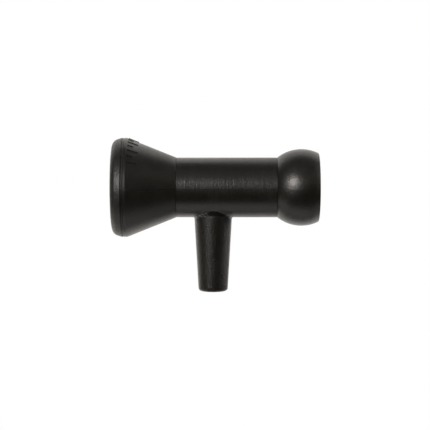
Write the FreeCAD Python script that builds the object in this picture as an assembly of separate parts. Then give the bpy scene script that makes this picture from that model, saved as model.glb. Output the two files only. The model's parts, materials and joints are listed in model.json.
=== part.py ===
"""Hand-held fire hose nozzle with a ball-joint inlet, a twist bell and a side grip.

Water enters the ball at +X and leaves the flared bell at -X. The origin is inside the ball, the
waterway lies on the X axis and the grip hangs along -Z. Sizes are in millimetres.

How it works. The ball's tail turns in the barrel on a race of small steel balls. Three pins in the
flow sleeve pass through straight slots in the barrel's nose into spiral grooves in the bell, so
turning the bell draws the sleeve back off the seat ring of the fixed deflector head, and the gap
between them opens. The toothed spinner in the bell's mouth turns freely and breaks the jet up.
"""

import FreeCAD
import Part

import math
import os

# Driving dimensions ---------------------------------------------------------------------------------

ball_radius = 40.3  # sphere of the inlet ball
ball_centre = -0.4  # X of the sphere's centre
inlet_face = 17.7  # X of the ball's flat end
ball_shoulder = -26.1  # X where the sphere ends against the barrel
inlet_bore_radius = 21.0
waterway_radius = 19.0

barrel_radius = 31.4
barrel_rear = -26.25
barrel_front = -131.6  # X of the shoulder that the bell runs against
nose_front = -164.0
nose_radius = 27.5
nose_bore_radius = 22.5
spider_bore_radius = 24.0
spider_shoulder = -104.0
tail_bore_radius = 25.0
tail_bore_end = -60.0

bell_rear = -131.75
bell_rear_radius = 31.5
bell_cone_front = -182.6
bell_cone_radius = 51.85
bell_band_radius = 52.0
bell_hub_front = -158.0
bumper_rear = -187.8
bumper_front = -198.9
mouth_radius = 42.2

grip_axis = -93.0  # X of the grip's axis
grip_end = -109.3  # Z of the grip's flat end
grip_top = -33.0  # Z where the grip's coped end starts
grip_top_radius = 19.7
grip_end_radius = 15.35
cope_radius = 46.4  # the grip's top is coped about an axis along X
cope_height = 13.4  # Z of that axis
grip_core_end = -88.0

bell_turn_degrees = 110.0  # from shut to wide open
sleeve_travel = 10.0
sleeve_front = -171.0  # X of the sleeve's lip when shut
sleeve_length = 45.0
pin_radius = 2.5
pin_count = 3
pin_place = -150.7  # X of the pins when shut
groove_floor_radius = 30.0

running_fit = 0.06  # radial clearance of a part that turns or slides in another
face_gap = 0.15  # between faces that turn on each other
seal_section = 1.0  # radius of the round seals' section
seal_groove_depth = 2.02
seal_groove_width = 3.0

tail_radius = tail_bore_radius - running_fit
sleeve_radius = nose_bore_radius - running_fit
hub_bore_radius = nose_radius + running_fit

origin = FreeCAD.Vector(0, 0, 0)
x_axis = FreeCAD.Vector(1, 0, 0)
y_axis = FreeCAD.Vector(0, 1, 0)
z_axis = FreeCAD.Vector(0, 0, 1)


# Tools ----------------------------------------------------------------------------------------------


def profile_point(place):
    """A point of a turned profile, given as (x, radius)."""
    return FreeCAD.Vector(place[0], 0, place[1])


def turned(path):
    """A solid turned about X from a closed outline of (x, radius) points.

    An entry ("arc", middle, end) is an arc from the point before it.
    """
    edges = []
    here = path[0]
    for step in [*path[1:], path[0]]:
        if step[0] == "arc":
            middle, end = step[1], step[2]
            edges.append(Part.Arc(*map(profile_point, (here, middle, end))).toShape())
            here = end
        elif step != here:
            edges.append(Part.LineSegment(profile_point(here), profile_point(step)).toShape())
            here = step
    return Part.Face(Part.Wire(edges)).revolve(origin, x_axis, 360)


def sphere_point(x):
    """The (x, radius) point of the ball's outline."""
    return (x, math.sqrt(ball_radius**2 - (x - ball_centre) ** 2))


def cylinder_x(start, end, radius):
    """A solid cylinder about X between two places."""
    low = min(start, end)
    return Part.makeCylinder(radius, abs(end - start), FreeCAD.Vector(low, 0, 0), x_axis)


def tube_x(start, end, outer, inner):
    """A straight tube about X."""
    return cylinder_x(start, end, outer).cut(cylinder_x(start, end, inner))


def cylinder_z(top, bottom, radius):
    """A solid cylinder on the grip's axis between two heights."""
    foot = FreeCAD.Vector(grip_axis, 0, bottom)
    return Part.makeCylinder(radius, top - bottom, foot, z_axis)


def cone_z(top, top_radius, bottom, bottom_radius):
    """A solid cone on the grip's axis between two heights."""
    foot = FreeCAD.Vector(grip_axis, 0, bottom)
    return Part.makeCone(bottom_radius, top_radius, top - bottom, foot, z_axis)


def radial_cylinder(x, inner, outer, radius, degrees):
    """A cylinder pointing away from the X axis. 0 degrees is +Z, and 90 is -Y."""
    rod = Part.makeCylinder(radius, outer - inner, FreeCAD.Vector(x, 0, inner), z_axis)
    return rod.rotate(origin, x_axis, degrees)


def around(number, count):
    """The angle in degrees of one of several things spaced evenly about X."""
    return number * 360.0 / count


def seal_ring(x, radius):
    """A round-section seal whose section's centre is at this radius."""
    return Part.makeTorus(radius, seal_section, FreeCAD.Vector(x, 0, 0), x_axis)


def shaft_seal(x, shaft_radius):
    """A seal in a groove around a shaft."""
    return seal_ring(x, shaft_radius - seal_groove_depth + 0.01 + seal_section)


def shaft_seal_groove(x, shaft_radius):
    """The space cut out of a shaft for its seal."""
    half = seal_groove_width / 2
    return tube_x(x - half, x + half, shaft_radius + 1, shaft_radius - seal_groove_depth)


def bore_seal(x, bore_radius):
    """A seal in a groove around a bore."""
    return seal_ring(x, bore_radius + seal_groove_depth - 0.01 - seal_section)


def bore_seal_groove(x, bore_radius):
    """The space cut out of a bore's wall for its seal."""
    half = seal_groove_width / 2
    return cylinder_x(x - half, x + half, bore_radius + seal_groove_depth)


def split_ring(start, end, outer, inner, gap):
    """A snap ring with a gap at the bottom."""
    low = min(start, end)
    corner = FreeCAD.Vector(low - 1, -gap / 2, -outer - 1)
    opening = Part.makeBox(abs(end - start) + 2, gap, outer + 1, corner)
    return tube_x(start, end, outer, inner).cut(opening)


def hexagon(across_flats, start, end):
    """A hexagonal bar about X."""
    corner = across_flats / math.sqrt(3)
    corners = []
    for number in range(7):
        turn = math.radians(around(number, 6))
        corners.append(FreeCAD.Vector(start, corner * math.cos(turn), corner * math.sin(turn)))
    return Part.Face(Part.makePolygon(corners)).extrude(FreeCAD.Vector(end - start, 0, 0))


def save(name, shape):
    """Writes one node, as a single solid or a group of separate ones."""
    for solid in shape.Solids:
        if not solid.isValid():
            raise ValueError(f"{name} holds a solid that isn't valid")
    whole = shape.Solids[0] if len(shape.Solids) == 1 else Part.makeCompound(shape.Solids)
    whole.exportStep(os.path.join("parts", f"{name}.step"))
    print(f"{name}: {len(shape.Solids)} solid(s), {whole.Volume / 1000:.2f} cm3")


# Inlet ball and its swivel --------------------------------------------------------------------------

tail_end = -58.0
race_place = -36.0
race_ball_radius = 2.0
race_ball_count = 24
tail_seal_places = (-44.0, -51.0)
strainer_seat = -8.0
strainer_thickness = 1.2
strainer_ring_groove_radius = 22.2


def ball_race():
    """The round groove that the small steel balls run in, half in the tail and half in the barrel."""
    place = FreeCAD.Vector(race_place, 0, 0)
    return Part.makeTorus(tail_bore_radius, race_ball_radius + 0.1, place, x_axis)


def inlet_ball():
    """The ball that a hose's socket grips, with the tail that turns in the barrel."""
    rim = 0.4
    sphere_end = sphere_point(inlet_face - rim)
    mouth_depth = 9.0
    body = turned(
        [
            (tail_end, waterway_radius + 3.4),
            (tail_end, tail_radius - 1.0),
            (tail_end + 1.0, tail_radius),
            (ball_shoulder, tail_radius),
            sphere_point(ball_shoulder),
            ("arc", (ball_centre, ball_radius), sphere_end),
            (inlet_face, sphere_end[1] - 0.5),
            (inlet_face, inlet_bore_radius + 5.5),
            (
                "arc",
                (inlet_face - 4.6, inlet_bore_radius + 1.6),
                (inlet_face - mouth_depth, inlet_bore_radius),
            ),
            (strainer_seat, inlet_bore_radius),
            (strainer_seat, waterway_radius),
            (tail_end + 6.0, waterway_radius),
        ]
    )
    ring_start = strainer_seat + strainer_thickness
    grooves = [
        ball_race(),
        cylinder_x(ring_start, ring_start + 1.7, strainer_ring_groove_radius),
    ]
    grooves.extend(shaft_seal_groove(place, tail_radius) for place in tail_seal_places)
    return body.cut(grooves)


def swivel_seals():
    """Two round seals in the tail's grooves."""
    return Part.makeCompound([shaft_seal(place, tail_radius) for place in tail_seal_places])


def swivel_balls():
    """The small steel balls that keep the tail in the barrel."""
    balls = []
    for number in range(race_ball_count):
        turn = math.radians(around(number + 0.5, race_ball_count))
        y = tail_bore_radius * math.sin(turn)
        z = tail_bore_radius * math.cos(turn)
        balls.append(Part.makeSphere(race_ball_radius, FreeCAD.Vector(race_place, y, z)))
    return Part.makeCompound(balls)


def inlet_strainer():
    """A perforated disc against the step in the inlet's bore."""
    disc = cylinder_x(strainer_seat, strainer_seat + strainer_thickness, inlet_bore_radius - 0.1)
    hole_radius = 1.6
    pitch = 4.4
    rows = 4
    holes = []
    for row in range(-rows, rows + 1):
        for column in range(-2 * rows, 2 * rows + 1):
            y = pitch * (column + row / 2)
            z = pitch * row * math.sqrt(3) / 2
            if math.hypot(y, z) < waterway_radius - hole_radius:
                foot = FreeCAD.Vector(strainer_seat - 1, y, z)
                holes.append(Part.makeCylinder(hole_radius, strainer_thickness + 2, foot, x_axis))
    return disc.cut(holes)


def strainer_ring():
    """The snap ring that holds the strainer."""
    start = strainer_seat + strainer_thickness
    return split_ring(start, start + 1.5, strainer_ring_groove_radius - 0.1, inlet_bore_radius - 1.6, 6.0)


# Barrel ---------------------------------------------------------------------------------------------

spider_rear = -90.0
spider_ring_thickness = 1.5
nose_seal_places = (-130.0, -157.0)
dust_seal_place = -134.8
retaining_ring_rear = -160.1
collar_flare = 0.13  # growth of the grip collar's radius with height
collar_fillet = 1.7
grip_core_top = -28.1
grip_core_top_radius = 13.4
grip_core_end_radius = 12.0
insert_radius = 4.6
insert_length = 14.0
race_plug_radius = 2.6
edge_break = 0.2


def cope(length):
    """The round that the grip's top and the barrel's collar meet on."""
    start = FreeCAD.Vector(grip_axis - length / 2, 0, cope_height)
    return Part.makeCylinder(cope_radius, length, start, x_axis)


def collar_radius(z):
    """The radius of the grip's collar at a height."""
    return grip_top_radius + collar_flare * (z - grip_top)


def grip_collar():
    """The low flared collar between the barrel and the grip, from inside the barrel down."""
    top = -barrel_radius / 2
    bottom = grip_top - 5
    cone = cone_z(top, collar_radius(top), bottom, collar_radius(bottom))
    return cone.common(cope(80))


def collar_edges(shape):
    """The curve where the collar's wall meets the barrel's outside."""
    found = []
    for edge in shape.Edges:
        middle = edge.valueAt((edge.FirstParameter + edge.LastParameter) / 2)
        from_barrel = math.hypot(middle.y, middle.z) - barrel_radius
        from_collar = math.hypot(middle.x - grip_axis, middle.y) - collar_radius(middle.z)
        if abs(from_barrel) < 0.01 and abs(from_collar) < 0.01:
            found.append(edge)
    return found


def grip_core(clearance=0.0):
    """The stub inside the grip."""
    return cone_z(
        grip_core_top, grip_core_top_radius + clearance, grip_core_end, grip_core_end_radius + clearance
    )


def nose_slot(degrees):
    """A straight slot through the nose for one cam pin."""
    half_width = pin_radius + 0.08
    inner = nose_bore_radius - 1
    outer = nose_radius + 1
    corner = FreeCAD.Vector(pin_place, -half_width, inner)
    middle = Part.makeBox(sleeve_travel, 2 * half_width, outer - inner, corner)
    ends = [
        radial_cylinder(place, inner, outer, half_width, degrees)
        for place in (pin_place, pin_place + sleeve_travel)
    ]
    return middle.rotate(origin, x_axis, degrees).fuse(ends)


def barrel():
    """The body: tail bore, waterway, the nose that the bell turns on, and the stub for the grip."""
    outside = turned(
        [
            (barrel_rear, 0),
            (barrel_rear, barrel_radius - 0.4),
            ("arc", (barrel_rear - 0.12, barrel_radius - 0.12), (barrel_rear - 0.4, barrel_radius)),
            (barrel_front + edge_break, barrel_radius),
            (barrel_front, barrel_radius - edge_break),
            (barrel_front, nose_radius),
            (nose_front + 1, nose_radius),
            (nose_front, nose_radius - 1),
            (nose_front, 0),
        ]
    )
    body = outside.fuse(grip_collar())
    body = body.makeFillet(collar_fillet, collar_edges(body))
    body = body.fuse(grip_core())
    ring_groove_end = spider_rear + spider_ring_thickness + 0.1
    insert_top = grip_core_end + insert_length
    hollows = [
        cylinder_x(nose_front - 1, spider_shoulder, nose_bore_radius),
        cylinder_x(spider_shoulder, tail_bore_end, spider_bore_radius),
        cylinder_x(tail_bore_end, barrel_rear + 1, tail_bore_radius),
        ball_race(),
        cylinder_x(spider_rear, ring_groove_end, spider_bore_radius + 1.6),
        tube_x(retaining_ring_rear - 1.6, retaining_ring_rear, nose_radius + 1, nose_radius - 1.8),
        shaft_seal_groove(dust_seal_place, nose_radius),
        cylinder_z(insert_top + 3, grip_core_end - 1, insert_radius - 1.2),
        cylinder_z(insert_top, grip_core_end - 1, insert_radius),
        radial_cylinder(race_place, tail_bore_radius - 1, barrel_radius + 1, race_plug_radius, -90),
    ]
    hollows.extend(bore_seal_groove(place, nose_bore_radius) for place in nose_seal_places)
    hollows.extend(nose_slot(around(number, pin_count)) for number in range(pin_count))
    return body.cut(hollows)


def race_plug():
    """The slotted screw that closes the hole through which the steel balls are loaded."""
    inner = tail_bore_radius + race_ball_radius + 0.3
    outer = barrel_radius - 0.3
    plug = radial_cylinder(race_place, inner, outer, race_plug_radius, -90)
    corner = FreeCAD.Vector(race_place - 0.5, outer - 1.2, -race_plug_radius)
    return plug.cut(Part.makeBox(1.0, 2.0, 2 * race_plug_radius, corner))


def nose_seals():
    """Two round seals in the nose's bore, which the flow sleeve slides through."""
    return Part.makeCompound([bore_seal(place, nose_bore_radius) for place in nose_seal_places])


def dust_seal():
    """The seal between the nose and the bell's hub."""
    return shaft_seal(dust_seal_place, nose_radius)


def thrust_washer():
    """The washer that the bell's hub bears on."""
    return tube_x(bell_hub_front - face_gap, retaining_ring_rear, nose_radius + 4, hub_bore_radius)


def retaining_ring():
    """The split ring in the nose's groove that keeps the bell on."""
    front = retaining_ring_rear - 1.5
    return split_ring(front, retaining_ring_rear, nose_radius + 2.5, nose_radius - 1.7, 5.0)


# Deflector and its support --------------------------------------------------------------------------

stem_radius = 6.0
stem_rear = -80.0
stem_spigot_radius = 4.5
spider_hub_radius = 10.0
nut_length = 6.0
seat_gap = 0.1
head_rear = -160.0
head_spigot_rear = -166.0
head_rim_radius = 34.5
head_front = -184.0
seat_outer_radius = 25.0
seat_inner_radius = 18.4
seat_ring_thickness = 1.8
seat_rear = sleeve_front - seat_gap
screw_seat = head_front + 3.5
screw_head_radius = 6.5
screw_shank_radius = 2.5
screw_shank_rear = -166.5


def spider():
    """A ring with four vanes and a hub, which holds the stem and straightens the flow."""
    vane_thickness = 3.0
    ring = tube_x(spider_shoulder, spider_rear, spider_bore_radius, spider_bore_radius - 2.6)
    hub = cylinder_x(spider_shoulder, spider_rear, spider_hub_radius)
    vane_foot = spider_hub_radius / 2
    vane_height = spider_bore_radius - 1.5 - vane_foot
    vanes = []
    for number in range(4):
        corner = FreeCAD.Vector(spider_shoulder, -vane_thickness / 2, vane_foot)
        vane = Part.makeBox(spider_rear - spider_shoulder, vane_thickness, vane_height, corner)
        vanes.append(vane.rotate(origin, x_axis, around(number + 0.5, 4)))
    return ring.fuse([hub, *vanes]).cut(cylinder_x(spider_shoulder - 1, spider_rear + 1, stem_radius))


def spider_ring():
    """The snap ring behind the spider."""
    rear = spider_rear + spider_ring_thickness
    return split_ring(spider_rear, rear, spider_bore_radius + 1.5, spider_bore_radius - 1.8, 7.0)


def stem():
    """The rod on the axis, with a collar against the spider's hub and a reduced end for the head."""
    collar_front = spider_shoulder - 3.0
    spigot_front = head_front + 6
    body = turned(
        [
            (stem_rear, 0),
            (stem_rear, stem_radius - 1),
            (stem_rear - 1, stem_radius),
            (spider_shoulder, stem_radius),
            (spider_shoulder, spider_hub_radius - 1),
            (collar_front, spider_hub_radius - 1),
            (collar_front - 3, stem_radius),
            (head_spigot_rear, stem_radius),
            (head_spigot_rear, stem_spigot_radius),
            (spigot_front, stem_spigot_radius),
            (spigot_front, 0),
        ]
    )
    return body.cut(cylinder_x(spigot_front - 1, screw_shank_rear + 2, screw_shank_radius))


def stem_nut():
    """The nut that pulls the stem's collar against the spider."""
    nut = hexagon(18.0, spider_rear, spider_rear + nut_length)
    return nut.cut(cylinder_x(spider_rear - 1, spider_rear + nut_length + 1, stem_radius))


def deflector_head():
    """The mushroom that the sleeve closes on and that turns the water outwards."""
    seat_floor = seat_rear - seat_ring_thickness
    rim_edge = 1.2
    dish = head_front + 1.5
    return turned(
        [
            (head_rear, stem_radius),
            (head_rear, stem_radius + 1.0),
            ("arc", (head_rear - 6.6, 10.8), (seat_rear, seat_inner_radius - 0.8)),
            (seat_rear, seat_inner_radius),
            (seat_floor, seat_inner_radius),
            (seat_floor, seat_outer_radius),
            (seat_rear, seat_outer_radius),
            (seat_rear - 0.3, seat_outer_radius + 0.8),
            ("arc", (seat_rear - 4.0, 29.6), (seat_rear - 8.2, head_rim_radius)),
            (head_front + rim_edge, head_rim_radius),
            (head_front, head_rim_radius - rim_edge),
            (head_front, head_rim_radius - 4.5),
            (dish, head_rim_radius - 6.0),
            (dish, screw_head_radius + 4),
            (screw_seat, screw_head_radius + 2),
            (screw_seat, stem_spigot_radius + 0.1),
            (head_spigot_rear, stem_spigot_radius + 0.1),
            (head_spigot_rear, stem_radius),
        ]
    )


def seat_ring():
    """The soft ring in the head's back that the sleeve's lip shuts against."""
    return tube_x(seat_rear, seat_rear - seat_ring_thickness, seat_outer_radius, seat_inner_radius)


def deflector_screw():
    """The button-head screw that holds the head on the stem."""
    crown = screw_seat - 3.2
    body = turned(
        [
            (screw_shank_rear, 0),
            (screw_shank_rear, screw_shank_radius),
            (screw_seat, screw_shank_radius),
            (screw_seat, screw_head_radius),
            (screw_seat - 0.8, screw_head_radius),
            ("arc", (crown + 0.7, screw_head_radius - 2.2), (crown, 3.2)),
            (crown, 0),
        ]
    )
    return body.cut(hexagon(4.0, crown - 1, crown + 1.9))


# Flow sleeve ----------------------------------------------------------------------------------------


def flow_sleeve():
    """The tube that slides in the nose and shuts on the seat ring."""
    rear = sleeve_front + sleeve_length
    bore = waterway_radius + 0.2
    body = turned(
        [
            (rear, bore + 1.4),
            (rear, sleeve_radius - 0.8),
            (rear - 0.8, sleeve_radius),
            (sleeve_front + 0.8, sleeve_radius),
            (sleeve_front, sleeve_radius - 0.8),
            (sleeve_front, bore),
            (rear - 4, bore),
        ]
    )
    holes = [
        radial_cylinder(pin_place, bore - 1, sleeve_radius + 1, pin_radius, around(number, pin_count))
        for number in range(pin_count)
    ]
    return body.cut(holes)


def cam_pins():
    """The pins that tie the sleeve to the bell's spiral grooves."""
    inner = waterway_radius + 0.6
    outer = groove_floor_radius - 0.3
    pins = [
        radial_cylinder(pin_place, inner, outer, pin_radius, around(number, pin_count))
        for number in range(pin_count)
    ]
    return Part.makeCompound(pins)


# Bell, bumper and spinner ---------------------------------------------------------------------------

bell_spigot_front = -192.0
bell_spigot_radius = 48.6
spinner_seat = -182.0
spinner_bore_radius = 46.0
spinner_teeth = 36
tick_count = 13
tick_width = 2.2
tick_height = 0.6
tick_front = -181.4
long_tick = 11.4
short_tick = 6.0


def spiral_groove(degrees):
    """The groove that one pin runs in: as the bell turns, it leads the pin back by the travel."""
    pitch = sleeve_travel * 360.0 / bell_turn_degrees
    inner = nose_radius - 0.5
    half_width = pin_radius + 0.12
    lean = math.atan(sleeve_travel / (math.radians(bell_turn_degrees) * groove_floor_radius))
    half_section = half_width / math.cos(lean)
    helix = Part.makeHelix(pitch, sleeve_travel, inner, 0, True)
    corners = [
        FreeCAD.Vector(inner, 0, -half_section),
        FreeCAD.Vector(groove_floor_radius, 0, -half_section),
        FreeCAD.Vector(groove_floor_radius, 0, half_section),
        FreeCAD.Vector(inner, 0, half_section),
    ]
    section = Part.makePolygon([*corners, corners[0]])
    groove = Part.Wire(helix.Edges).makePipeShell([section], True, True)
    groove.rotate(origin, y_axis, 90)
    groove.rotate(origin, x_axis, 180 + degrees)
    groove.translate(FreeCAD.Vector(pin_place, 0, 0))
    far_end = pin_place + sleeve_travel
    far_turn = degrees - bell_turn_degrees
    ends = [
        radial_cylinder(pin_place, inner, groove_floor_radius, half_width, degrees),
        radial_cylinder(far_end, inner, groove_floor_radius, half_width, far_turn),
    ]
    return groove.fuse(ends)


def cone_radius(x):
    """The bell's outside radius at a place on its cone."""
    share = (bell_rear - x) / (bell_rear - bell_cone_front)
    return bell_rear_radius + share * (bell_cone_radius - bell_rear_radius)


def setting_tick(number):
    """One raised mark of the setting scale on the bell's cone."""
    length = short_tick if number % 2 else long_tick
    sunk = 0.4
    slope = math.atan2(bell_cone_radius - bell_rear_radius, bell_rear - bell_cone_front)
    corner = FreeCAD.Vector(0, -tick_width / 2, -sunk)
    mark = Part.makeBox(length, tick_width, sunk + tick_height, corner)
    top_edges = [edge for edge in mark.Edges if abs(edge.BoundBox.ZMin - tick_height) < 1e-6]
    mark = mark.makeFillet(0.25, top_edges)
    mark.rotate(origin, y_axis, math.degrees(slope))
    mark.translate(FreeCAD.Vector(tick_front, 0, cone_radius(tick_front)))
    spacing = bell_turn_degrees / (tick_count - 1)
    return mark.rotate(origin, x_axis, spacing * (number - (tick_count - 1) / 2))


def bell():
    """The flared front that is turned by hand: hub, horn and the band behind the bumper."""
    band = bell_band_radius
    groove = bell_cone_front - 3.1
    wall = 7.3
    throat_radius = 34.5
    body = turned(
        [
            (bell_rear, hub_bore_radius),
            (bell_rear, bell_rear_radius - edge_break),
            (bell_rear - edge_break, cone_radius(bell_rear - edge_break)),
            (bell_cone_front, bell_cone_radius),
            (bell_cone_front - 0.4, band),
            (groove + 0.45, band),
            (groove, band - 0.4),
            (groove - 0.45, band),
            (bumper_rear + 0.9, band),
            (bumper_rear + 0.6, band - 0.3),
            (bumper_rear + 0.6, band - 1.1),
            (bumper_rear, band - 1.1),
            (bumper_rear, bell_spigot_radius),
            (bell_spigot_front, bell_spigot_radius),
            (bell_spigot_front, spinner_bore_radius),
            (spinner_seat, spinner_bore_radius),
            (spinner_seat, cone_radius(spinner_seat) - wall),
            (bell_hub_front - 3, throat_radius + 1.0),
            (bell_hub_front, throat_radius),
            (bell_hub_front, hub_bore_radius),
        ]
    )
    body = body.fuse([setting_tick(number) for number in range(tick_count)])
    return body.cut([spiral_groove(around(number, pin_count)) for number in range(pin_count)])


def bumper():
    """The soft ring round the mouth, pushed onto the bell's spigot."""
    lip = bumper_front
    return turned(
        [
            (bumper_rear, bell_spigot_radius),
            (bumper_rear, 51.5),
            ("arc", (bumper_rear - 0.25, 51.9), (bumper_rear - 0.9, 52.0)),
            (bumper_rear - 1.3, 51.95),
            (lip + 5.3, 50.55),
            ("arc", (lip + 1.5, 47.75), (lip, 43.1)),
            ("arc", (lip + 0.25, 42.6), (lip + 0.8, 42.35)),
            (lip + 3.2, mouth_radius),
            (bell_spigot_front, mouth_radius),
            (bell_spigot_front, bell_spigot_radius),
        ]
    )


def spinner():
    """The free-turning ring of slanted teeth inside the mouth."""
    rear = spinner_seat - 0.4
    front = bell_spigot_front + 0.4
    outer = spinner_bore_radius - running_fit
    tip = 39.6
    length = 5.4
    width = 3.2
    middle = front + 3.6
    ring = tube_x(rear, front, outer, outer - 2.6)
    teeth = []
    for number in range(spinner_teeth):
        corner = FreeCAD.Vector(middle - length / 2, -width / 2, tip)
        tooth = Part.makeBox(length, width, outer - 1.2 - tip, corner)
        tooth.rotate(FreeCAD.Vector(middle, 0, 0), z_axis, 15)
        teeth.append(tooth.rotate(origin, x_axis, around(number, spinner_teeth)))
    return ring.fuse(teeth)


# Grip -----------------------------------------------------------------------------------------------

grip_web_top = grip_core_end - 0.2
grip_web_bottom = -94.0
grip_end_round = 3.2
counterbore_radius = 8.0
washer_thickness = 1.2
screw_radius = 3.0


def grip():
    """The handle moulding, coped at the top and slid over the barrel's stub."""
    taper = (grip_top_radius - grip_end_radius) / (grip_top - grip_end)
    top = grip_top + 13
    outside = cone_z(top, grip_top_radius + 13 * taper, grip_end, grip_end_radius)
    end_edges = [edge for edge in outside.Edges if abs(edge.BoundBox.ZMax - grip_end) < 0.01]
    outside = outside.makeFillet(grip_end_round, end_edges)
    hollows = [
        cope(80),
        grip_core(clearance=0.05),
        cylinder_z(grip_core_end, grip_web_top, grip_core_end_radius + 0.05),
        cylinder_z(grip_web_top + 1, grip_web_bottom - 1, screw_radius + 0.3),
        cylinder_z(grip_web_bottom, grip_end - 1, counterbore_radius),
    ]
    return outside.cut(hollows)


def grip_insert():
    """The threaded bush in the end of the stub."""
    top = grip_core_end + insert_length
    bush = cylinder_z(top, grip_core_end, insert_radius)
    return bush.cut(cylinder_z(top + 1, grip_core_end - 1, screw_radius))


def grip_washer():
    """The washer under the grip screw's head."""
    bottom = grip_web_bottom - washer_thickness
    disc = cylinder_z(grip_web_bottom, bottom, counterbore_radius - 0.4)
    return disc.cut(cylinder_z(grip_web_bottom + 1, bottom - 1, screw_radius + 0.2))


def grip_screw():
    """The socket-head screw that holds the grip on the stub."""
    seat = grip_web_bottom - washer_thickness
    head_length = 6.0
    shank = cylinder_z(grip_core_end + insert_length - 1, seat - 1, screw_radius)
    head = cylinder_z(seat, seat - head_length, 5.0)
    socket = cylinder_z(seat - 3, seat - head_length - 1, 2.6)
    return shank.fuse(head).cut(socket)


def grip_plug():
    """The cap that closes the grip's end."""
    face = grip_end + 0.5
    plug = cylinder_z(face + 4.0, face, counterbore_radius)
    return plug.cut(Part.makeBox(6.0, 1.2, 1.0, FreeCAD.Vector(grip_axis - 3, -0.6, face)))


# Everything -----------------------------------------------------------------------------------------

nodes = [
    inlet_ball,
    swivel_seals,
    swivel_balls,
    inlet_strainer,
    strainer_ring,
    barrel,
    race_plug,
    nose_seals,
    dust_seal,
    thrust_washer,
    retaining_ring,
    spider,
    spider_ring,
    stem,
    stem_nut,
    deflector_head,
    seat_ring,
    deflector_screw,
    flow_sleeve,
    cam_pins,
    bell,
    bumper,
    spinner,
    grip,
    grip_insert,
    grip_washer,
    grip_screw,
    grip_plug,
]

os.makedirs("parts", exist_ok=True)
for node in nodes:
    save(node.__name__, node())
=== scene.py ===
"""The looks of a hand-line fire hose nozzle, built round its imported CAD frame.

The waterway lies on X, with the inlet ball at +X and the flared bell at -X, and the grip hangs
along -Z. Lengths are in metres. The moving pieces ride on their CAD bodies.
"""

import json
import math

import bpy
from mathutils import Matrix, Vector


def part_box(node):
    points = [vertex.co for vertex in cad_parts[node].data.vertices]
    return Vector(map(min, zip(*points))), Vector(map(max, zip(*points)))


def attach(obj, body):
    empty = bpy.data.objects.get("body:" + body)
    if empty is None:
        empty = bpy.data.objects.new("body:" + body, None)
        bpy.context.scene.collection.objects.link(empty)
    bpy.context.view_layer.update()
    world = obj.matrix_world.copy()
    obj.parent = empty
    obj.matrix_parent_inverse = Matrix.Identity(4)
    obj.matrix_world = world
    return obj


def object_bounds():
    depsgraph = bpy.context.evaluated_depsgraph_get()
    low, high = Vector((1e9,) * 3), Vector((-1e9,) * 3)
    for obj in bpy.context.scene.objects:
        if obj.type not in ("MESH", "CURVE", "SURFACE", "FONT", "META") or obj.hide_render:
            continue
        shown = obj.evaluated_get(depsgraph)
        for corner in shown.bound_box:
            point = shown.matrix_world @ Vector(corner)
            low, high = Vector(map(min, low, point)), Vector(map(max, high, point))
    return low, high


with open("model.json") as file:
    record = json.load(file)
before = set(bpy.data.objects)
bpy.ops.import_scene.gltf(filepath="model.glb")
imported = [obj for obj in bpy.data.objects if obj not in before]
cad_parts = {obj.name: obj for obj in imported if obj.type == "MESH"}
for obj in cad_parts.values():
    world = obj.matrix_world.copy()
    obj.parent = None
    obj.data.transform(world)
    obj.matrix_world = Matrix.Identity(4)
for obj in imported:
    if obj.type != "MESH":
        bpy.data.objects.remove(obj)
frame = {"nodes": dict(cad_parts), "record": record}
CAD_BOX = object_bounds()
NODES = frame["nodes"]
MOUNTS = {mount["name"]: mount for mount in frame["record"]["mounts"]}
MM = 0.001
for piece in NODES.values():
    piece.data.materials.clear()
for imported in list(bpy.data.materials):
    bpy.data.materials.remove(imported)

# Node helpers ---------------------------------------------------------------------------------------


def new_material(name):
    """An empty material, its node tree and its Principled shader."""
    material = bpy.data.materials.new(name)
    material.use_nodes = True
    tree = material.node_tree
    tree.nodes.clear()
    output = tree.nodes.new("ShaderNodeOutputMaterial")
    shader = tree.nodes.new("ShaderNodeBsdfPrincipled")
    tree.links.new(shader.outputs["BSDF"], output.inputs["Surface"])
    return material, tree, shader


def node(tree, kind, inputs=None, links=None, **properties):
    """A shader node with its properties, input values and incoming links set."""
    made = tree.nodes.new("ShaderNode" + kind)
    for key, value in properties.items():
        setattr(made, key, value)
    for key, value in (inputs or {}).items():
        made.inputs[key].default_value = value
    for key, source in (links or {}).items():
        tree.links.new(source, made.inputs[key])
    return made


def place(tree, scale=(1, 1, 1)):
    """The point on the object in its own frame, scaled along each axis."""
    at = node(tree, "TexCoord").outputs["Object"]
    return node(tree, "Mapping", {"Scale": scale}, {"Vector": at}).outputs["Vector"]


def object_axis(tree, axis):
    """One coordinate of the point on the object in its own frame."""
    at = node(tree, "TexCoord").outputs["Object"]
    return node(tree, "SeparateXYZ", links={0: at}).outputs[axis]


def lathe_place(tree, along, outward):
    """The point as (X, distance from the X axis), so that a pattern runs in rings."""
    at = node(tree, "TexCoord").outputs["Object"]
    flat = node(tree, "VectorMath", {1: (0, 1, 1)}, {0: at}, operation="MULTIPLY").outputs[0]
    radius = node(tree, "VectorMath", links={0: flat}, operation="LENGTH").outputs["Value"]
    joined = node(tree, "CombineXYZ", links={"X": object_axis(tree, "X"), "Y": radius}).outputs[0]
    return node(tree, "Mapping", {"Scale": (along, outward, 1)}, {"Vector": joined}).outputs[0]


def noise(tree, vector, scale, detail=3.0, roughness=0.5, distortion=0.0):
    """Noise between about 0.3 and 0.7."""
    values = {"Scale": scale, "Detail": detail, "Roughness": roughness, "Distortion": distortion}
    return node(tree, "TexNoise", values, {"Vector": vector}).outputs["Fac"]


def remap(tree, source, low, high, to_low, to_high):
    """A value taken from one range to another, held at both ends."""
    values = {"From Min": low, "From Max": high, "To Min": to_low, "To Max": to_high}
    return node(tree, "MapRange", values, {"Value": source}).outputs["Result"]


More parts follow.
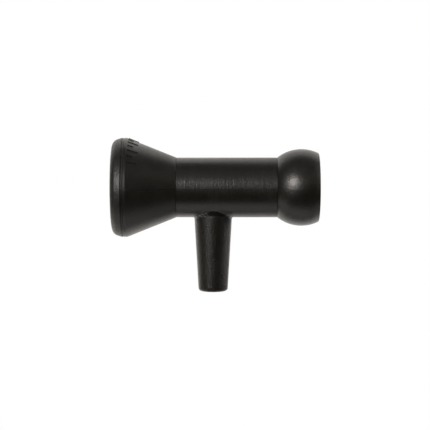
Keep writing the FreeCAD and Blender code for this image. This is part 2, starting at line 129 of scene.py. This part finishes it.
def maths(tree, operation, first, second):
    """Two numbers or sockets joined by a Math node."""
    made = node(tree, "Math", operation=operation)
    for index, value in enumerate((first, second)):
        if isinstance(value, (int, float)):
            made.inputs[index].default_value = value
        else:
            tree.links.new(value, made.inputs[index])
    return made.outputs[0]


def tones(tree, source, stops):
    """A colour ramp through (place, colour) stops."""
    ramp = node(tree, "ValToRGB", links={"Fac": source})
    elements = ramp.color_ramp.elements
    while len(elements) < len(stops):
        elements.new(0.5)
    for element, (at, colour) in zip(elements, stops):
        element.position = at
        element.color = (*colour, 1.0)
    return ramp.outputs["Color"]


def bumps(tree, layers):
    """The normal left by several bump layers of (height, distance in metres)."""
    normal = None
    for height, distance in layers:
        links = {"Height": height}
        if normal is not None:
            links["Normal"] = normal
        normal = node(tree, "Bump", {"Distance": distance, "Strength": 1.0}, links).outputs[0]
    return normal


# Materials ------------------------------------------------------------------------------------------

GRIP_X = MOUNTS["hand_grip"]["pos_m"][0]
COLLAR_EDGE = (0.0215, 0.0235)  # how far from the grip's axis the collar fades out
COLLAR_TOP = (-0.018, -0.012)  # Z at which it fades out up the barrel
SMOOTH_X = GRIP_X + 0.0035  # middle of the stretch with no ragged edge
RAGGED_EDGE = (0.0065, 0.0105)  # how far from there the ragged edge fades in
DRAFT_REACH = 0.008  # how far from the parting plane the draft fades out


def collar_masks(tree):
    """1 on the collar round the grip's root, and 1 on only its two sides, falling to 0 elsewhere."""
    at = node(tree, "TexCoord").outputs["Object"]
    apart = node(tree, "VectorMath", {1: (-GRIP_X, 0, 0)}, {0: at}, operation="ADD").outputs[0]
    flat = node(tree, "VectorMath", {1: (1, 1, 0)}, {0: apart}, operation="MULTIPLY").outputs[0]
    reach = node(tree, "VectorMath", links={0: flat}, operation="LENGTH").outputs["Value"]
    ring = remap(tree, reach, *COLLAR_EDGE, 1.0, 0.0)
    below = remap(tree, object_axis(tree, "Z"), *COLLAR_TOP, 1.0, 0.0)
    collar = maths(tree, "MULTIPLY", ring, below)
    off_middle = maths(tree, "SUBTRACT", object_axis(tree, "X"), SMOOTH_X)
    sides = remap(tree, maths(tree, "ABSOLUTE", off_middle, 0.0), *RAGGED_EDGE, 0.0, 1.0)
    return collar, maths(tree, "MULTIPLY", collar, sides)


def mould_draft(tree):
    """The height of a moulded face that falls away on both sides of its parting plane at Z = 0."""
    height = object_axis(tree, "Z")
    apart = maths(tree, "MULTIPLY", maths(tree, "ABSOLUTE", height, 0.0), -1.0 / DRAFT_REACH)
    return maths(tree, "EXPONENT", apart, 0.0)


def satin_plastic(name, dark, light, rough, spread, grain, lines=0.0, draft=0.0, collar=False):
    """Moulded plastic: mottled tone and gloss, a fine grain, and faint lines round the axis.

    grain and lines are heights in metres, and draft is a slope at the parting plane. A piece with a
    collar is glossier there, with ragged sides, and grows duller from its front to its rear.
    """
    material, tree, shader = new_material(name)
    at = place(tree)
    blotch = noise(tree, at, 38, 5, 0.62)
    speck = noise(tree, at, 900, 2, 0.5)
    tone = maths(tree, "ADD", maths(tree, "MULTIPLY", blotch, 0.75), maths(tree, "MULTIPLY", speck, 0.25))
    tree.links.new(tones(tree, tone, [(0.36, dark), (0.64, light)]), shader.inputs["Base Color"])
    roughness = remap(tree, tone, 0.36, 0.64, rough - spread, rough + spread)
    layers = [(noise(tree, at, 1300, 2, 0.55), grain), (noise(tree, at, 560, 2, 0.6), grain * 3)]
    if lines:
        rings = noise(tree, place(tree, (520, 60, 60)), 1, 3, 0.7)
        layers.append((rings, lines))
        roughness = maths(tree, "ADD", roughness, remap(tree, rings, 0.35, 0.65, -0.02, 0.02))
    if draft:
        layers.append((mould_draft(tree), draft * DRAFT_REACH))
    if collar:
        front, rear, drift = -0.13, -0.027, 0.035
        along = remap(tree, object_axis(tree, "X"), front, rear, -drift, drift)
        roughness = maths(tree, "ADD", roughness, along)
        whole, sides = collar_masks(tree)
        collar_gloss, ragged_height = 0.15, 0.0009
        roughness = maths(tree, "SUBTRACT", roughness, maths(tree, "MULTIPLY", whole, collar_gloss))
        ragged = noise(tree, at, 560, 4, 0.7, 0.6)
        layers.append((maths(tree, "MULTIPLY", ragged, sides), ragged_height))
    tree.links.new(roughness, shader.inputs["Roughness"])
    tree.links.new(bumps(tree, layers), shader.inputs["Normal"])
    shader.inputs["IOR"].default_value = 1.5
    return material


def dull_line(name, colour):
    """The matt trace that a mould's joint leaves."""
    material, tree, shader = new_material(name)
    cloud = noise(tree, place(tree), 300, 3, 0.5)
    darker = tuple(0.6 * channel for channel in colour)
    tree.links.new(tones(tree, cloud, [(0.35, darker), (0.65, colour)]), shader.inputs["Base Color"])
    tree.links.new(remap(tree, cloud, 0.35, 0.65, 0.6, 0.75), shader.inputs["Roughness"])
    shader.inputs["Specular IOR Level"].default_value = 0.15
    return material


def rubber(name, dark, light, rough, grain):
    """Moulded rubber: dull, with a fine grain and a light bloom in patches."""
    material, tree, shader = new_material(name)
    at = place(tree)
    bloom = noise(tree, at, 55, 6, 0.65)
    tree.links.new(tones(tree, bloom, [(0.38, dark), (0.66, light)]), shader.inputs["Base Color"])
    tree.links.new(remap(tree, bloom, 0.35, 0.65, rough - 0.04, rough + 0.05), shader.inputs["Roughness"])
    layers = [(noise(tree, at, 1100, 3, 0.6), grain), (noise(tree, at, 260, 3, 0.5), grain * 2)]
    tree.links.new(bumps(tree, layers), shader.inputs["Normal"])
    shader.inputs["IOR"].default_value = 1.5
    return material


def turned_metal(name, dark, light, rough, lines, pitch=2600):
    """Metal off a lathe: rings of tool marks, with a soft change of tone."""
    material, tree, shader = new_material(name)
    marks = noise(tree, lathe_place(tree, pitch, pitch), 1, 3, 0.6)
    cloud = noise(tree, place(tree), 60, 4, 0.6)
    tone = maths(tree, "ADD", maths(tree, "MULTIPLY", marks, 0.5), maths(tree, "MULTIPLY", cloud, 0.5))
    tree.links.new(tones(tree, tone, [(0.35, dark), (0.65, light)]), shader.inputs["Base Color"])
    tree.links.new(remap(tree, tone, 0.35, 0.65, rough - 0.05, rough + 0.06), shader.inputs["Roughness"])
    layers = [(marks, lines), (noise(tree, place(tree), 1400, 2, 0.5), lines * 0.4)]
    tree.links.new(bumps(tree, layers), shader.inputs["Normal"])
    shader.inputs["Metallic"].default_value = 1.0
    return material


def brushed_metal(name, dark, light, rough, lines, scale):
    """Rolled or drawn metal: fine straight lines along one axis."""
    material, tree, shader = new_material(name)
    marks = noise(tree, place(tree, scale), 1, 4, 0.65)
    cloud = noise(tree, place(tree), 120, 3, 0.5)
    tree.links.new(tones(tree, cloud, [(0.35, dark), (0.65, light)]), shader.inputs["Base Color"])
    tree.links.new(remap(tree, marks, 0.3, 0.7, rough - 0.06, rough + 0.08), shader.inputs["Roughness"])
    tree.links.new(bumps(tree, [(marks, lines)]), shader.inputs["Normal"])
    shader.inputs["Metallic"].default_value = 1.0
    return material


BLACK = (0.0060, 0.0054, 0.0040)
SOFT_BLACK = (0.0092, 0.0084, 0.0064)
MATERIALS = {
    "barrel_plastic": satin_plastic(
        "barrel_plastic", BLACK, SOFT_BLACK, 0.35, 0.03, 5e-5, lines=1.9e-4, draft=0.022, collar=True
    ),
    "bell_plastic": satin_plastic(
        "bell_plastic", BLACK, SOFT_BLACK, 0.37, 0.03, 3e-5, lines=2e-5, draft=0.03
    ),
    "ball_plastic": satin_plastic("ball_plastic", BLACK, SOFT_BLACK, 0.345, 0.03, 7e-5, draft=0.018),
    "grip_plastic": satin_plastic("grip_plastic", BLACK, SOFT_BLACK, 0.33, 0.03, 1.5e-4),
    "parting_line": dull_line("parting_line", BLACK),
    "plug_plastic": satin_plastic(
        "plug_plastic", (0.007, 0.007, 0.0066), (0.012, 0.012, 0.011), 0.42, 0.04, 5e-6
    ),
    "spinner_plastic": satin_plastic(
        "spinner_plastic", (0.024, 0.024, 0.022), (0.038, 0.038, 0.035), 0.42, 0.05, 6e-6, lines=3e-6
    ),
    "bumper_rubber": rubber("bumper_rubber", BLACK, SOFT_BLACK, 0.43, 1.5e-4),
    "seal_rubber": rubber("seal_rubber", (0.010, 0.010, 0.010), (0.020, 0.020, 0.019), 0.45, 6e-6),
    "seat_rubber": rubber("seat_rubber", (0.035, 0.035, 0.034), (0.060, 0.059, 0.057), 0.60, 9e-6),
    "head_alloy": turned_metal("head_alloy", (0.060, 0.061, 0.064), (0.105, 0.107, 0.112), 0.36, 5e-6),
    "sleeve_alloy": turned_metal("sleeve_alloy", (0.30, 0.31, 0.32), (0.42, 0.43, 0.44), 0.34, 4e-6),
    "spider_alloy": turned_metal("spider_alloy", (0.46, 0.47, 0.48), (0.60, 0.61, 0.62), 0.32, 5e-6, 1800),
    "steel": turned_metal("steel", (0.48, 0.48, 0.47), (0.62, 0.62, 0.61), 0.26, 3e-6, 3200),
    "mesh_steel": brushed_metal(
        "mesh_steel", (0.44, 0.44, 0.43), (0.58, 0.58, 0.57), 0.30, 4e-6, (90, 2400, 90)
    ),
    "ball_steel": brushed_metal(
        "ball_steel", (0.60, 0.60, 0.60), (0.70, 0.70, 0.70), 0.14, 1e-6, (300, 300, 300)
    ),
    "brass": turned_metal("brass", (0.52, 0.36, 0.16), (0.70, 0.52, 0.26), 0.30, 4e-6),
}
FINISH = {
    "barrel": "barrel_plastic",
    "inlet_ball": "ball_plastic",
    "bell": "bell_plastic",
    "bumper": "bumper_rubber",
    "grip": "grip_plastic",
    "grip_plug": "plug_plastic",
    "race_plug": "plug_plastic",
    "spinner": "spinner_plastic",
    "deflector_head": "head_alloy",
    "flow_sleeve": "sleeve_alloy",
    "spider": "spider_alloy",
    "seat_ring": "seat_rubber",
    "swivel_seals": "seal_rubber",
    "nose_seals": "seal_rubber",
    "dust_seal": "seal_rubber",
    "inlet_strainer": "mesh_steel",
    "swivel_balls": "ball_steel",
    "grip_insert": "brass",
}
for name, piece in NODES.items():
    piece.data.materials.append(MATERIALS[FINISH.get(name, "steel")])

# Parting lines --------------------------------------------------------------------------------------

BARREL_REAR, BARREL_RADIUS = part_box("barrel")[1].x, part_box("barrel")[1].z
BELL_REAR, BAND_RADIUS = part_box("bell")[1].x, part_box("bell")[1].z
BAND_WIDTH = 5.2 * MM
CONE_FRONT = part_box("bumper")[1].x + BAND_WIDTH
CONE_REAR_RADIUS = BARREL_RADIUS + 0.1 * MM
CONE_FRONT_RADIUS = BAND_RADIUS - 0.15 * MM
BALL_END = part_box("inlet_ball")[1].x
PLUG_FRONT, PLUG_REAR = (corner.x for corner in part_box("race_plug"))
# How far each ridge stops short of the end of its surface.
BARREL_GAP = 0.45 * MM
PLUG_GAP = 0.6 * MM
BALL_SEAM_GAP, BALL_END_GAP = 0.35 * MM, 0.9 * MM
CONE_REAR_GAP, CONE_FRONT_GAP = 0.23 * MM, 1.6 * MM
RIDGE_HEIGHT = 0.08 * MM
RIDGE_SUNK = 0.04 * MM
WIDE, NARROW = 0.22 * MM, 0.14 * MM  # half the width of a ridge
NEAR, FAR = -1, 1


def parting_line(name, body, finish, half_width, outline, side):
    """The thin ridge that the mould's joint leaves along one side. outline is (x, radius) points."""
    crest = half_width * 0.5
    section = [
        (-half_width, -RIDGE_SUNK),
        (-crest, RIDGE_HEIGHT),
        (crest, RIDGE_HEIGHT),
        (half_width, -RIDGE_SUNK),
    ]
    vertices = []
    for x, radius in outline:
        for across, rise in section:
            vertices.append((x, side * (radius + rise), across))
    faces = []
    count = len(section)
    for ring in range(len(outline) - 1):
        for step in range(count):
            a = ring * count + step
            b = ring * count + (step + 1) % count
            faces.append((a, b, b + count, a + count))
    faces.append(tuple(range(count)))
    last = (len(outline) - 1) * count
    faces.append(tuple(last + step for step in range(count)))
    mesh = bpy.data.meshes.new(name)
    mesh.from_pydata(vertices, [], faces)
    made = bpy.data.objects.new(name, mesh)
    bpy.context.scene.collection.objects.link(made)
    mesh.materials.append(MATERIALS[finish])
    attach(made, body)


def cone_outline(start, end):
    """The two ends of a line along the bell's cone."""
    slope = (CONE_FRONT_RADIUS - CONE_REAR_RADIUS) / (CONE_FRONT - BELL_REAR)
    return [(x, CONE_REAR_RADIUS + slope * (x - BELL_REAR)) for x in (start, end)]


def ball_outline(start, end):
    """Points along the ball from its seam to its flat end."""
    ball = MOUNTS["inlet_ball"]
    radius, centre = ball["dims"]["r_mm"] * MM, ball["pos_m"][0]
    steps = 61
    places = [start + (end - start) * step / steps for step in range(steps + 1)]
    return [(x, math.sqrt(radius**2 - (x - centre) ** 2)) for x in places]


BALL = ball_outline(BARREL_REAR + BALL_SEAM_GAP, BALL_END - BALL_END_GAP)
CONE = cone_outline(CONE_FRONT + CONE_FRONT_GAP, BELL_REAR - CONE_REAR_GAP)
LINE_FRONT, LINE_REAR = BELL_REAR + BARREL_GAP, BARREL_REAR - BARREL_GAP
for side, tag in ((NEAR, "near"), (FAR, "far")):
    parting_line(f"ball_parting_{tag}", "inlet", "ball_plastic", WIDE, BALL, side)
    parting_line(f"bell_parting_{tag}", "twist_bell", "parting_line", WIDE, CONE, side)
# The far side's line stops on both sides of the plug.
for tag, start, end, side in (
    ("near", LINE_FRONT, LINE_REAR, NEAR),
    ("front", LINE_FRONT, PLUG_FRONT - PLUG_GAP, FAR),
    ("rear", PLUG_REAR + PLUG_GAP, LINE_REAR, FAR),
):
    line = [(start, BARREL_RADIUS), (end, BARREL_RADIUS)]
    parting_line(f"barrel_parting_{tag}", "body", "parting_line", NARROW, line, side)

# Stage ----------------------------------------------------------------------------------------------

OFF_MIDDLE = Vector((-0.00047, 0.0, -0.00047))
AIM = (CAD_BOX[0] + CAD_BOX[1]) / 2 + OFF_MIDDLE


def direction(azimuth, elevation):
    """The way from the object. Azimuth 0 is the camera's side and 90 is +X."""
    a, e = math.radians(azimuth), math.radians(elevation)
    return Vector((math.sin(a) * math.cos(e), -math.cos(a) * math.cos(e), math.sin(e)))


def glow(name, strength):
    """A plain white glowing surface."""
    material = bpy.data.materials.new(name)
    material.use_nodes = True
    tree = material.node_tree
    tree.nodes.clear()
    output = node(tree, "OutputMaterial")
    shader = node(tree, "Emission", {"Strength": strength})
    tree.links.new(shader.outputs[0], output.inputs["Surface"])
    return material


FLOOR_HALF = 4.0
FLOOR_Z = -1.3
corners = [(-1, -1), (1, -1), (1, 1), (-1, 1)]
floor_mesh = bpy.data.meshes.new("floor")
floor_mesh.from_pydata([(x * FLOOR_HALF, y * FLOOR_HALF, FLOOR_Z) for x, y in corners], [], [(0, 1, 2, 3)])
floor = bpy.data.objects.new("floor", floor_mesh)
bpy.context.scene.collection.objects.link(floor)
floor_mesh.materials.append(glow("pale_floor", 1.0))
# The floor is a plain backdrop, which neither lights the object nor shows in it.
floor.visible_glossy = False
floor.visible_diffuse = False
floor.visible_shadow = False


WARM_WHITE = (1.045, 1.0, 0.955)


def softbox(name, azimuth, elevation, distance, width, height, radiance, round_face=False):
    """A soft light that faces the object and spans those angles, in degrees, as seen from it."""
    toward = direction(azimuth, elevation)
    light = bpy.data.lights.new(name, "AREA")
    light.shape = "ELLIPSE" if round_face else "RECTANGLE"
    light.size = 2 * distance * math.tan(math.radians(width / 2))
    light.size_y = 2 * distance * math.tan(math.radians(height / 2))
    face = light.size * light.size_y * (math.pi / 4 if round_face else 1.0)
    light.energy = radiance * math.pi * face
    light.color = WARM_WHITE
    made = bpy.data.objects.new(name, light)
    bpy.context.scene.collection.objects.link(made)
    made.location = AIM + toward * distance
    made.rotation_mode = "QUATERNION"
    made.rotation_quaternion = toward.to_track_quat("Z", "Y")


# The soft key stands left of the camera and fades out from its middle. A pale sweep stands behind
# and to the right, and a pale table lies below. Each is a name, azimuth, elevation, distance, width,
# height and radiance, and True for a round one.
SOFTBOXES = [
    ("key_core", -27.5, 20, 6.0, 14, 14, 36.0, True),
    ("key_middle", -27.5, 19, 6.0, 22, 22, 4.0, True),
    ("key_edge", -28.5, 17, 6.0, 34, 32, 0.8, True),
    ("key_low", -32, 2, 1.6, 26, 14, 2.5, True),
    ("fill", 14, 22, 6.0, 22, 12, 0.7),
    ("back", 180, 0, 2.2, 64, 80, 1.28),
    ("back_left", -135, 0, 2.2, 36, 80, 0.94),
    ("back_right", 135, 0, 2.2, 36, 80, 0.47),
    ("right", 100, 18, 1.8, 36, 44, 3.36),
    ("front_right", 70, 16, 1.8, 26, 40, 0.68),
    ("left", -105, 5, 1.8, 30, 44, 0.52),
    ("top_back", 180, 55, 2.0, 90, 24, 1.29),
    ("top", 0, 88, 1.8, 50, 40, 0.13),
    ("top_front", -20, 58, 1.8, 50, 24, 0.29),
    ("top_right", 32, 42, 1.8, 34, 22, 0.16),
    ("under", 0, -80, 1.2, 50, 40, 0.77),
    ("under_back", 180, -52, 1.8, 80, 24, 1.05),
    ("under_left", -90, -45, 1.5, 50, 30, 1.01),
    ("under_right", 95, -45, 1.5, 50, 30, 0.57),
]
for settings in SOFTBOXES:
    softbox(*settings)

world = bpy.data.worlds.new("world")
world.use_nodes = True
tree = world.node_tree
background = tree.nodes["Background"]
background.inputs["Color"].default_value = (1, 1, 1, 1)
seen = node(tree, "LightPath").outputs["Is Camera Ray"]
UNSEEN_GLOW, SEEN_GLOW = 0.004, 1.0
tree.links.new(remap(tree, seen, 0, 1, UNSEEN_GLOW, SEEN_GLOW), background.inputs["Strength"])
bpy.context.scene.world = world
bpy.context.scene.view_settings.view_transform = "Standard"

CAMERA_ELEVATION = 4.6
CAMERA_DISTANCE = 1.517
FOCAL_LENGTH = 120.6
SENSOR_WIDTH = 36
lens = bpy.data.cameras.new("camera")
lens.sensor_width = SENSOR_WIDTH
lens.lens = FOCAL_LENGTH
lens.clip_start = 0.01
lens.clip_end = 50
camera = bpy.data.objects.new("camera", lens)
bpy.context.scene.collection.objects.link(camera)
back = direction(0, CAMERA_ELEVATION)
camera.location = AIM + back * CAMERA_DISTANCE
camera.rotation_mode = "QUATERNION"
camera.rotation_quaternion = (-back).to_track_quat("-Z", "Y")
bpy.context.scene.camera = camera
